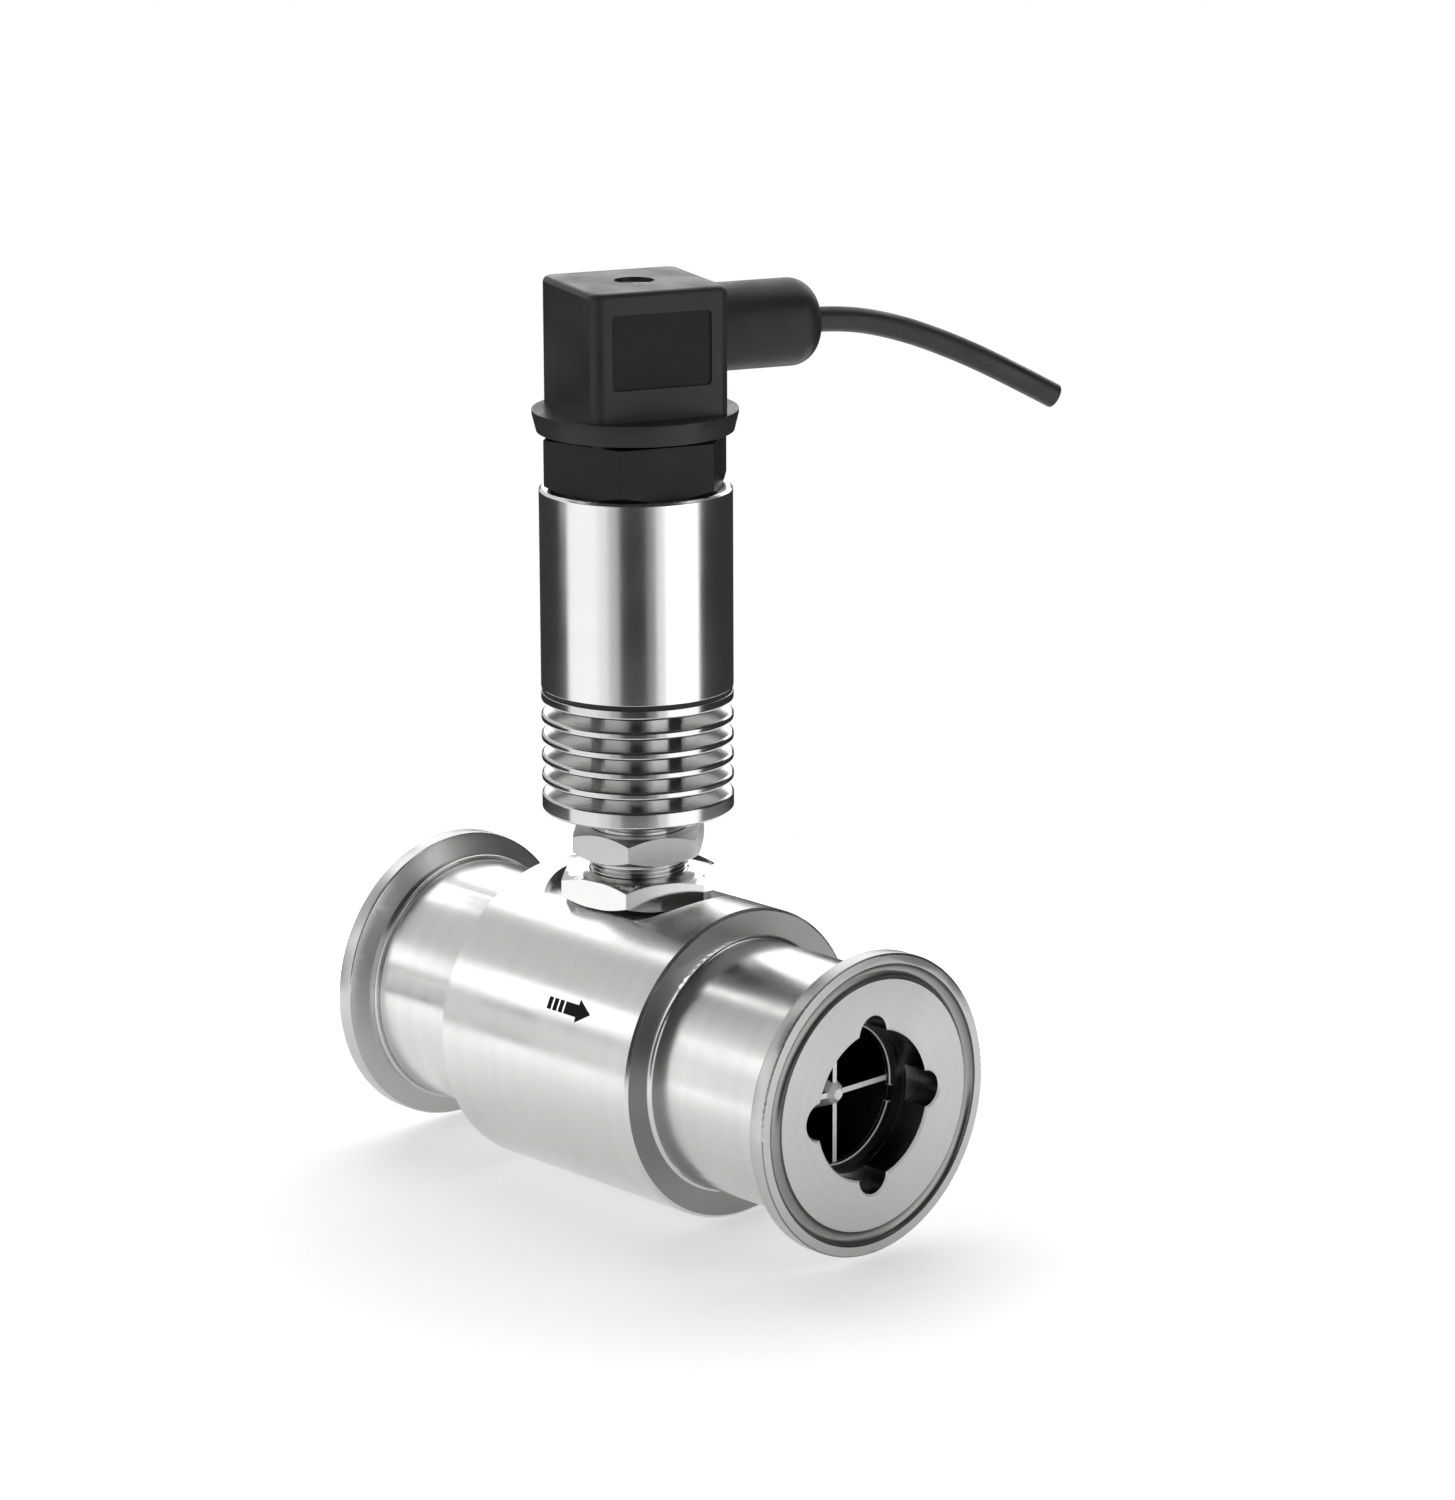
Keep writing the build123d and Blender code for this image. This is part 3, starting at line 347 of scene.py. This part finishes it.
def dressed(node, name, body, material, bevel=0.0, segments=3, painted_highlight_material=None):
    """A merged copy of a CAD node with smooth round faces and its edges broken, in the node's place; a
    highlight material given paints a highlight on the broken edges.
    """
    form = bmesh.new()
    form.from_mesh(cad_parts[node].data)
    bmesh.ops.remove_doubles(form, verts=form.verts, dist=merge_reach)
    bmesh.ops.dissolve_limit(form, angle_limit=flat_angle, verts=form.verts, edges=form.edges)
    for face in form.faces:
        face.smooth = True
    for edge in form.edges:
        edge.smooth = edge.calc_face_angle(pi) < sharp_angle
    mesh = bpy.data.meshes.new(name)
    form.to_mesh(mesh)
    form.free()
    piece = link(name, mesh)
    piece.data.materials.append(material)
    if painted_highlight_material:
        piece.data.materials.append(painted_highlight_material)
    if bevel:
        edges = piece.modifiers.new("broken_edges", "BEVEL")
        edges.width = bevel
        edges.segments = segments
        edges.limit_method = "ANGLE"
        edges.angle_limit = sharp_angle
        edges.harden_normals = True
        edges.material = painted_highlight_index if painted_highlight_material else -1
    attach(piece, body)
    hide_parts(node)
    return piece


def axis_reach(mesh, polygon):
    """How far the outermost corner of a face lies from the bore axis."""
    return max(Vector((0.0, *mesh.vertices[corner].co[1:])).length for corner in polygon.vertices)


body_steel = turned("body_satin", (0.74, 0.74, 0.735), 0.23, 0.004 * mm, rings=3500.0)
# Painted highlight: a pale, half-metal, rougher copy of the steel for broken edges and mouth chamfers, which
# shows them as bright outlines whatever they face.
painted_highlight_steel = turned("edge_painted_highlight", (0.95, 0.95, 0.945), 0.45, 0.002 * mm, rings=3000.0, metallic=0.45)
# Partly a rougher faced finish, partly painted shade: the barrel's end faces get a much darker copy of the
# body steel.
faced_shaded_steel = turned("body_faced_painted_shade", (0.34, 0.34, 0.335), 0.42, 0.006 * mm, rings=4000.0)
# Painted shade: a near-black copy of the steel for the bore and the mouths, where shade falls.
bore_shaded_steel = turned("bore_painted_shade", (0.09, 0.09, 0.09), 0.3, 0.004 * mm, rings=2500.0)
shaded_bore_reach, facing_tilt = 13.4 * mm, 0.95
# The body's broken edges carry the painted highlight.
line_body = dressed("meter_body", "line_body", "root", body_steel, bevel=0.28 * mm,
                    painted_highlight_material=painted_highlight_steel)
line_body.data.materials.append(bore_shaded_steel)
line_body.data.materials.append(faced_shaded_steel)
# Faces close to the bore axis take the painted shade of the bore.
for polygon in line_body.data.polygons:
    if axis_reach(line_body.data, polygon) < shaded_bore_reach:
        polygon.material_index = shaded_bore_index
    # Faces turned along the axis take the darker faced copy, partly painted shade.
    elif abs(polygon.normal.x) > facing_tilt:
        polygon.material_index = faced_shade_index

# Flow arrow: a plain arrow with a striped tail, printed in black on the side of the barrel
# and pointing to the outlet.
barrel_radius = 26.3 * mm
arrow_start, arrow_angle, arrow_lift = 53.0 * mm, radians(25.0), 0.02 * mm
stripe_count, stripe_step, stripe_width, stripe_height = 3, 1.35 * mm, 0.95 * mm, 2.1 * mm
shaft_length, head_length, head_height = 3.0 * mm, 3.2 * mm, 4.0 * mm
arrow_bars = [(number * stripe_step, stripe_width) for number in range(stripe_count)]
arrow_bars.append((stripe_count * stripe_step, shaft_length))
head_start = stripe_count * stripe_step + shaft_length
form = bmesh.new()
for start, width in arrow_bars:
    bmesh.ops.create_grid(form, x_segments=4, y_segments=6, size=0.5,
                          matrix=Matrix.Translation((start + width / 2, 0.0, 0.0))
                          @ Matrix.Diagonal((width, stripe_height, 1.0, 1.0)))
head = bmesh.ops.create_grid(form, x_segments=6, y_segments=8, size=0.5,
                             matrix=Matrix.Translation((0.5, 0.0, 0.0)))
for vertex in head["verts"]:
    spare = 1.0 - vertex.co.x
    vertex.co = Vector((head_start + vertex.co.x * head_length, vertex.co.y * spare * head_height, 0.0))
bmesh.ops.remove_doubles(form, verts=form.verts, dist=merge_reach)
arrow_radius = barrel_radius + arrow_lift
for vertex in form.verts:
    angle = arrow_angle + vertex.co.y / barrel_radius
    vertex.co = Vector((arrow_start + vertex.co.x, -arrow_radius * cos(angle), arrow_radius * sin(angle)))
flow_arrow = finish_mesh(form, "flow_arrow", "root", "body_steel")
arrow_ink = moulded("arrow_ink", (0.008, 0.008, 0.008), 0.6, 6000.0, 0.004 * mm, specular=0.1)
flow_arrow.data.materials.append(arrow_ink)

# Clamp ferrules: stainless flanges turned with a seal groove and a tapered back, each welded to its neck
# with one fine bead. Four round notches for the fitting tool break the edge of the mouth.
ferrule_steel = turned("ferrule_satin", (0.74, 0.74, 0.735), 0.23, 0.004 * mm, rings=3000.0)
# Partly a faced finish, partly painted shade: the ferrules' end faces get a darker copy of their steel.
ferrule_face_shaded_steel = turned("ferrule_faced_painted_shade", (0.5, 0.5, 0.495), 0.3, 0.006 * mm, rings=4000.0, tone=0.16)
# Partly a rougher finish, partly painted shade: the ferrules' tapered backs and outer rims get a darker copy
# of their steel.
taper_shaded_steel = turned("ferrule_taper_painted_shade", (0.57, 0.57, 0.565), 0.34, 0.004 * mm, rings=4000.0)
# Painted shade: the seal groove gets a dark copy of the ferrule steel.
groove_shaded_steel = turned("seal_groove_painted_shade", (0.26, 0.26, 0.255), 0.3, 0.003 * mm, rings=3000.0)
bead_steel = turned("weld_bead", (0.7, 0.69, 0.68), 0.3, 0.01 * mm, rings=1500.0)
mouth_reach, rim_reach, groove_skin, groove_floor = 15.6 * mm, 25.2 * mm, 0.02 * mm, 1.15 * mm
notch_tilt, taper_tilt, face_tilt = 0.3, 0.9, 0.97
bead_radius, bead_half, bead_ripple, bead_steps, bead_ripples = 21.35 * mm, 0.4 * mm, 0.005 * mm, 288, 72


def spin_merged(form, **path):
    """Spins a bmesh's outline, merges where it meets, and puts edges and faces in one fixed order."""
    bmesh.ops.spin(form, geom=form.verts[:] + form.edges[:], **path)
    bmesh.ops.remove_doubles(form, verts=form.verts, dist=merge_reach)
    form.verts.index_update()
    total = len(form.verts)

    def corner_order(item):
        order = 0
        for index in sorted(corner.index for corner in item.verts)[:3]:
            order = order * total + index
        return order

    form.edges.sort(key=corner_order)
    form.faces.sort(key=corner_order)


for end, face_x, weld_x in (("inlet", 0.0, 5.6 * mm), ("outlet", 105.0 * mm, 99.4 * mm)):
    # The ferrules' broken edges and mouth chamfers carry the painted highlight.
    ferrule = dressed(end + "_ferrule", end + "_clamp_ferrule", "root", ferrule_steel,
                      bevel=0.16 * mm, painted_highlight_material=painted_highlight_steel)
    ferrule.data.materials.append(bore_shaded_steel)
    ferrule.data.materials.append(ferrule_face_shaded_steel)
    ferrule.data.materials.append(taper_shaded_steel)
    ferrule.data.materials.append(groove_shaded_steel)
    for polygon in ferrule.data.polygons:
        reach, tilt = axis_reach(ferrule.data, polygon), abs(polygon.normal.x)
        depth = abs(polygon.center.x - face_x)
        # Painted shade on the mouth's bore and notch walls; painted highlight on its chamfers.
        if reach < mouth_reach and tilt < notch_tilt:
            polygon.material_index = shaded_bore_index
        elif reach < mouth_reach and tilt < facing_tilt:
            polygon.material_index = painted_highlight_index
        # Faces inside the seal groove take its painted shade.
        elif reach < rim_reach and groove_skin < depth < groove_floor:
            polygon.material_index = groove_shade_index
        # End faces take the darker faced copy, partly painted shade.
        elif tilt > face_tilt:
            polygon.material_index = faced_shade_index
        # Tapered backs and outer rims take the darker copy, partly painted shade.
        elif tilt > taper_tilt or reach > rim_reach:
            polygon.material_index = taper_shade_index
    form = bmesh.new()
    bmesh.ops.create_circle(form, segments=12, radius=bead_half,
                            matrix=Matrix.Translation((weld_x, 0.0, bead_radius))
                            @ Matrix.Rotation(radians(90.0), 4, "X"))
    spin_merged(form, axis=(1.0, 0.0, 0.0), cent=(0.0, 0.0, 0.0), angle=2 * pi, steps=bead_steps)
    for vertex in form.verts:
        ripple = bead_ripple * sin(bead_ripples * atan2(vertex.co.z, vertex.co.y))
        vertex.co += Vector((0.0, vertex.co.y, vertex.co.z)).normalized() * ripple
    for face in form.faces:
        face.smooth = True
    bead = finish_mesh(form, end + "_weld_bead", "root", "ferrule_steel")
    bead.data.materials.append(bead_steel)

# Flow guides: slim stainless vanes on a round-nosed hub before and behind the rotor, kept in the bore
# by open spring rings.
# Painted shade: the stainless vanes and hubs get a near-black copy of the steel, deep in the bore.
guide_shaded_steel = turned("guide_painted_shade", (0.03, 0.03, 0.03), 0.25, 0.003 * mm, rings=4000.0)
# Painted shade: the spring rings get a dark copy of the steel.
spring_shaded_steel = turned("spring_painted_shade", (0.12, 0.12, 0.12), 0.3, 0.002 * mm, rings=4000.0)
# Painted highlight: a pale, half-metal copy for the vanes' front faces, the hubs' noses and the broken edges
# of vanes and rings.
inner_painted_highlight = turned("guide_edges_painted_highlight", (0.92, 0.92, 0.915), 0.5, 0.002 * mm, rings=3000.0, metallic=0.5)
nose_reach, front_tilt = 5.2 * mm, 0.6
for end in ("inlet", "outlet"):
    guide = dressed(end + "_straightener", end + "_flow_guide", "root", guide_shaded_steel,
                    bevel=0.12 * mm, painted_highlight_material=inner_painted_highlight)
    # Front faces and noses take the painted highlight.
    for polygon in guide.data.polygons:
        if abs(polygon.normal.x) > front_tilt or axis_reach(guide.data, polygon) < nose_reach:
            polygon.material_index = painted_highlight_index
    dressed(end + "_retaining_ring", end + "_spring_ring", "root", spring_shaded_steel,
            bevel=0.2 * mm, painted_highlight_material=inner_painted_highlight)

# Rotor: a bladed wheel of magnetic stainless on a hard shaft, which turns in hard bushes between two
# thrust balls.
rotor_steel = turned("rotor_dark", (0.3, 0.3, 0.3), 0.2, 0.003 * mm, rings=4000.0)
hard_metal = turned("hard_metal", (0.12, 0.12, 0.125), 0.18, 0.002 * mm, rings=5000.0)
dressed("rotor", "rotor_wheel", "rotor", rotor_steel, bevel=0.1 * mm, segments=2)


def finish_node(node, finish):
    """Gives a CAD node that stays as it is one procedural finish."""
    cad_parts[node].data.materials.clear()
    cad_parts[node].data.materials.append(finish)


for node in ("rotor_shaft", "inlet_bearing_bush", "outlet_bearing_bush", "thrust_balls"):
    finish_node(node, hard_metal)

# Pickup stem: a blind stainless tube with a fine thread from the body to the upper nut and a plain neck
# under the heat sink. A black flat gasket seals it on the milled flat.
stem_low, stem_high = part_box("pickup_stem")
thread_pitch, thread_crest, thread_root = 0.7 * mm, 8.25 * mm, 7.82 * mm
thread_start, thread_end, thread_steps, tower_steps = 23.4 * mm, 36.2 * mm, 72, 144
crest_start, crest_end = 0.42, 0.58
neck_outer, spigot_outer, stem_bore = 7.1 * mm, 6.4 * mm, 5.0 * mm
shoulder_z, sink_z, stem_floor = 36.3 * mm, 39.4 * mm, 1.2 * mm
stem_steel = turned("stem_bright", (0.66, 0.66, 0.655), 0.16, 0.003 * mm, rings=5000.0, upright=True)


def spun_tower(outline, ring=True, turns=1, steps=tower_steps, pitch=0.0):
    """A bmesh turned about the tower from (radius, height) points; a pitch makes a spiral, a ring closes."""
    form = bmesh.new()
    rim = [form.verts.new((tower_x + radius, 0.0, height)) for radius, height in outline]
    for first, second in zip(rim, rim[1:] + (rim[:1] if ring else [])):
        form.edges.new((first, second))
    spin_merged(form, axis=(0.0, 0.0, 1.0), cent=(tower_x, 0.0, 0.0), dvec=(0.0, 0.0, pitch / steps),
                angle=2 * pi * turns, steps=steps * turns)
    return form


def smooth_round(form):
    """Shades round faces smooth and keeps the edges between turned faces crisp."""
    bmesh.ops.recalc_face_normals(form, faces=form.faces)
    for face in form.faces:
        face.smooth = True
    for edge in form.edges:
        edge.smooth = edge.calc_face_angle(pi) < sharp_angle


form = spun_tower([
    (0.0, stem_low.z), (thread_root, stem_low.z), (thread_root, shoulder_z), (neck_outer, shoulder_z),
    (neck_outer, sink_z), (spigot_outer, sink_z), (spigot_outer, stem_high.z), (stem_bore, stem_high.z),
    (stem_bore, stem_low.z + stem_floor), (0.0, stem_low.z + stem_floor)], ring=False)
smooth_round(form)
stem_core = finish_mesh(form, "stem_core", "root", "stem_steel", "pickup_stem")
stem_core.data.materials.append(stem_steel)

tooth = [(thread_root, 0.0), (thread_crest, crest_start * thread_pitch),
         (thread_crest, crest_end * thread_pitch), (thread_root, thread_pitch)]
thread_turns = int((thread_end - thread_start) / thread_pitch) - 1
form = spun_tower([(radius, thread_start + height) for radius, height in tooth], ring=False,
                  turns=thread_turns, steps=thread_steps, pitch=thread_pitch)
smooth_round(form)
stem_thread = finish_mesh(form, "stem_thread", "root", "stem_steel")
stem_thread.data.materials.append(stem_steel)

seal_skin = moulded("nitrile_seal", (0.012, 0.012, 0.012), 0.55, 3000.0, 0.01 * mm)
dressed("stem_gasket", "flat_gasket", "root", seal_skin, bevel=0.06 * mm, segments=2)

# Nuts: hexagon stainless bar. The lower one is bright with turned corners and locks the stem to the body;
# the upper one is blasted and rounded and locks the heat sink to the stem.
nut_bright = turned("nut_bright", (0.7, 0.7, 0.695), 0.14, 0.002 * mm, rings=2500.0, upright=True)
nut_blasted = moulded("nut_blasted", (0.42, 0.42, 0.415), 0.36, 5000.0, 0.012 * mm, metallic=1.0)
# The lower nut's broken edges carry the painted highlight.
dressed("lower_hex_nut", "body_hex_nut", "root", nut_bright, bevel=0.2 * mm,
        painted_highlight_material=painted_highlight_steel)

lock_low, lock_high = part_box("upper_lock_nut")
lock_half_flats, lock_bore, lock_yaw = 10.3 * mm, 8.35 * mm, radians(9.3)
flat_turn, corner_angle = radians(60.0), radians(50.0)
lock_corner, lock_middle = lock_half_flats / cos(flat_turn / 2), (lock_low.z + lock_high.z) / 2
crown_start, crown_drop, corner_break = lock_half_flats - 0.02 * mm, 1.05 * mm, 0.22 * mm
form = spun_tower([
    (lock_bore, lock_low.z), (crown_start, lock_low.z), (lock_corner, lock_low.z + crown_drop),
    (lock_corner, lock_high.z - crown_drop), (crown_start, lock_high.z), (lock_bore, lock_high.z)])
for vertex in form.verts:
    arm = Vector((vertex.co.x - tower_x, vertex.co.y, 0.0))
    if arm.length > crown_start + merge_reach:
        reach = lock_half_flats / cos(atan2(arm.y, arm.x) % flat_turn - flat_turn / 2)
        drop = crown_drop * (reach - crown_start) / (lock_corner - crown_start)
        height = lock_low.z + drop if vertex.co.z < lock_middle else lock_high.z - drop
        vertex.co = Vector((tower_x, 0.0, height)) + arm.normalized() * reach
bmesh.ops.recalc_face_normals(form, faces=form.faces)
corners = [edge for edge in form.edges
           if edge.calc_face_angle(0.0) > corner_angle
           and abs(edge.verts[0].co.z - edge.verts[1].co.z) > crown_drop]
bmesh.ops.bevel(form, geom=corners, offset=corner_break, offset_type="OFFSET", affect="EDGES", segments=3,
                profile=0.5, material=-1, clamp_overlap=True)
bmesh.ops.rotate(form, verts=form.verts, cent=(tower_x, 0.0, 0.0), matrix=Matrix.Rotation(lock_yaw, 3, "Z"))
smooth_round(form)
lock_nut = finish_mesh(form, "sink_lock_nut", "root", "nut_steel", "upper_lock_nut")
lock_nut.data.materials.append(nut_blasted)

# Pickup coil set: a nylon bobbin with an enamelled winding, a pole pin, a magnet and two leads,
# all sealed inside the stem.
bobbin_nylon = moulded("bobbin_nylon", (0.72, 0.69, 0.58), 0.45, 5000.0, 0.006 * mm)
winding_copper = turned("winding_copper", (0.62, 0.28, 0.11), 0.3, 0.02 * mm, rings=9000.0, upright=True)
pole_steel = turned("pole_steel", (0.4, 0.4, 0.4), 0.25, 0.003 * mm, upright=True)
magnet_plate = turned("magnet_plate", (0.6, 0.6, 0.6), 0.12, 0.002 * mm, upright=True)
lead_skin = moulded("lead_skin", (0.45, 0.05, 0.04), 0.4, 5000.0, 0.005 * mm)
finish_node("coil_bobbin", bobbin_nylon)
finish_node("coil_winding", winding_copper)
finish_node("pole_pin", pole_steel)
finish_node("pickup_magnet", magnet_plate)
finish_node("pickup_leads", lead_skin)

# Heat sink: one bright turned piece with a thick foot, four thin round-edged fins and a top plate,
# whose spigot holds the sleeve over a black seal and an O-ring.
sink_steel = turned("sink_bright", (0.66, 0.66, 0.655), 0.16, 0.002 * mm, rings=2500.0, upright=True,
                    spread=0.03)
dressed("heat_sink", "finned_sink", "root", sink_steel, bevel=0.12 * mm, segments=2)
dressed("sleeve_seal", "sleeve_seam_seal", "root", seal_skin, bevel=0.1 * mm, segments=2)
finish_node("spigot_o_ring", seal_skin)

# Housing sleeve: a polished stainless tube round the electronics, pushed over the spigots of the heat
# sink and the connector base.
sleeve_steel = turned("sleeve_polished", (0.82, 0.82, 0.82), 0.19, 0.0006 * mm, rings=1500.0, upright=True,
                      spread=0.03, tone=0.05)
dressed("housing_sleeve", "polished_sleeve", "root", sleeve_steel, bevel=0.1 * mm)

# Preamplifier board: green glass epoxy under solder mask, with a moulded chip, a trimmer and a can
# soldered on. It stands in a slot of the heat sink, inside the sleeve.
board_skin = moulded("board_mask", (0.02, 0.16, 0.06), 0.3, 2500.0, 0.01 * mm)
chip_skin = moulded("chip_epoxy", (0.03, 0.03, 0.03), 0.5, 5000.0, 0.008 * mm)
dressed("preamp_board", "amplifier_board", "root", board_skin, bevel=0.08 * mm, segments=2)
dressed("board_components", "amplifier_parts", "root", chip_skin, bevel=0.12 * mm,
        segments=2)

# Connector base: a black glass-filled hexagon moulding with a spigot in the sleeve, four tinned blades
# through its roof and a flat seal under the plug.
base_skin = moulded("base_polyamide", (0.013, 0.013, 0.014), 0.42, 4200.0, 0.012 * mm, specular=0.2)
blade_tin = turned("blade_tin", (0.72, 0.70, 0.64), 0.2, 0.002 * mm, upright=True)
dressed("connector_base", "hexagon_base", "root", base_skin, bevel=0.18 * mm)
dressed("contact_blades", "tinned_blades", "root", blade_tin, bevel=0.08 * mm, segments=2)
dressed("profile_seal", "plug_flat_seal", "root", seal_skin, bevel=0.08 * mm, segments=2)

# Plug: a black moulded shell with rounded corners, a round foot, sunk side panels and a cable boss.
# A socket block sits inside it, and a slotted screw through its roof holds it down.
plug_skin = moulded("plug_polyamide", (0.030, 0.030, 0.031), 0.36, 4200.0, 0.012 * mm, specular=0.2)
block_skin = moulded("block_polyamide", (0.07, 0.07, 0.07), 0.5, 4200.0, 0.01 * mm)
screw_zinc = turned("screw_zinc", (0.6, 0.6, 0.58), 0.22, 0.003 * mm, upright=True)
panel_skin = moulded("plug_panel", (0.021, 0.021, 0.022), 0.6, 3000.0, 0.02 * mm, specular=0.14)
plug_shell = dressed("plug_housing", "plug_shell", "plug", plug_skin, bevel=0.2 * mm)
plug_shell.data.materials.append(panel_skin)
side_dir, panel_index = Vector((sin(plug_yaw), -cos(plug_yaw), 0.0)), 1
panel_reach, panel_margin, panel_low = 11.7 * mm, 0.05 * mm, gland_z - 12.0 * mm
for polygon in plug_shell.data.polygons:
    across = abs((polygon.center - Vector((tower_x, 0.0, 0.0))).dot(side_dir))
    if abs(across - panel_reach) < panel_margin and polygon.center.z > panel_low:
        polygon.material_index = panel_index
dressed("terminal_block", "socket_block", "plug", block_skin, bevel=0.15 * mm, segments=2)
dressed("fixing_screw", "centre_screw", "plug", screw_zinc, bevel=0.12 * mm, segments=2)

# Cable gland: a domed black cap screwed on the boss, which squeezes a washer and a rubber grommet
# on the cable.
gland_skin = moulded("gland_polyamide", (0.020, 0.020, 0.021), 0.45, 4200.0, 0.012 * mm, specular=0.3)
dressed("gland_cap", "domed_gland_cap", "plug", gland_skin, bevel=0.15 * mm)
finish_node("gland_washer", gland_skin)
finish_node("gland_grommet", seal_skin)
finish_node("cable_tail", sheath_skin)
